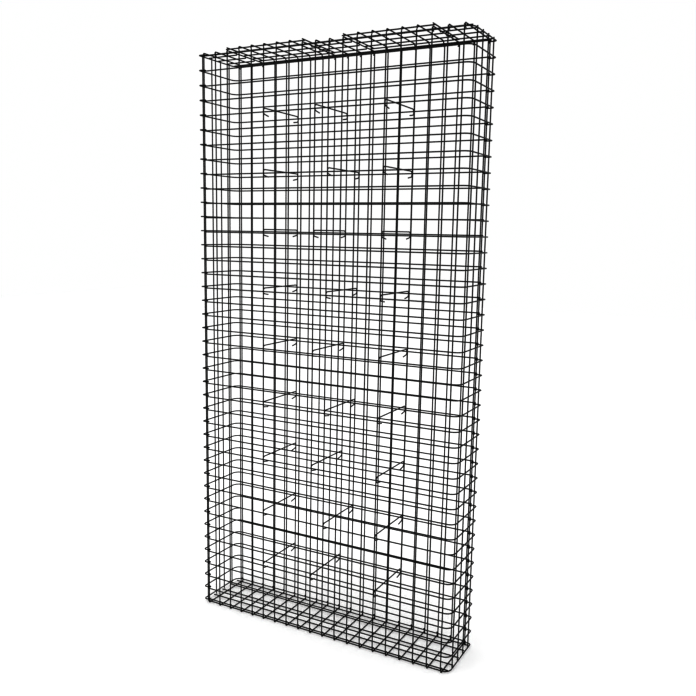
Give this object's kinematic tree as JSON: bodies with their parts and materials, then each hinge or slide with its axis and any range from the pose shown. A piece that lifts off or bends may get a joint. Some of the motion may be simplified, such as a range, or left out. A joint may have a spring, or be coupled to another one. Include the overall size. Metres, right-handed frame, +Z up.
{
  "type": "gabion basket",
  "caption": "Tall narrow welded wire gabion basket with hinged fill covers on top and hooked spacer wires between its walls.",
  "frame": {"origin": "centre of the rectangle that the basket stands on, at ground level", "axes": "+X along the wall to the right as seen from the front, +Y from the front wall to the back wall, +Z up"},
  "size_m": [1.004, 0.2214, 2.0258],
  "materials": {
    "mesh_coat": "satin",
    "cover_coat": "satin",
    "spacer_coat": "satin"
  },
  "bodies": {
    "cage": {"front_right_panel": "mesh_coat", "back_left_panel": "mesh_coat", "floor_panel": "mesh_coat", "top_panel": "mesh_coat", "left_spacer_1": "spacer_coat", "left_spacer_2": "spacer_coat", "left_spacer_3": "spacer_coat", "left_spacer_4": "spacer_coat", "left_spacer_5": "spacer_coat", "left_spacer_6": "spacer_coat", "left_spacer_7": "spacer_coat", "left_spacer_8": "spacer_coat", "left_spacer_9": "spacer_coat", "middle_spacer_1": "spacer_coat", "middle_spacer_2": "spacer_coat", "middle_spacer_3": "spacer_coat", "middle_spacer_4": "spacer_coat", "middle_spacer_5": "spacer_coat", "middle_spacer_6": "spacer_coat", "middle_spacer_7": "spacer_coat", "middle_spacer_8": "spacer_coat", "middle_spacer_9": "spacer_coat", "right_spacer_1": "spacer_coat", "right_spacer_2": "spacer_coat", "right_spacer_3": "spacer_coat", "right_spacer_4": "spacer_coat", "right_spacer_5": "spacer_coat", "right_spacer_6": "spacer_coat", "right_spacer_7": "spacer_coat", "right_spacer_8": "spacer_coat", "right_spacer_9": "spacer_coat"},
    "left_cover": {"left_cover": "cover_coat"},
    "right_cover": {"right_cover": "cover_coat"}
  },
  "joints": [
    {"name": "left_cover_hinge", "type": "hinge", "parent": "cage", "child": "left_cover", "pos_m": [-0.225, 0.104, 2.0106], "axis": [-1, 0, 0], "range_deg": [0, 225]},
    {"name": "right_cover_hinge", "type": "hinge", "parent": "cage", "child": "right_cover", "pos_m": [0.225, 0.104, 2.0106], "axis": [-1, 0, 0], "range_deg": [0, 225]}
  ]
}
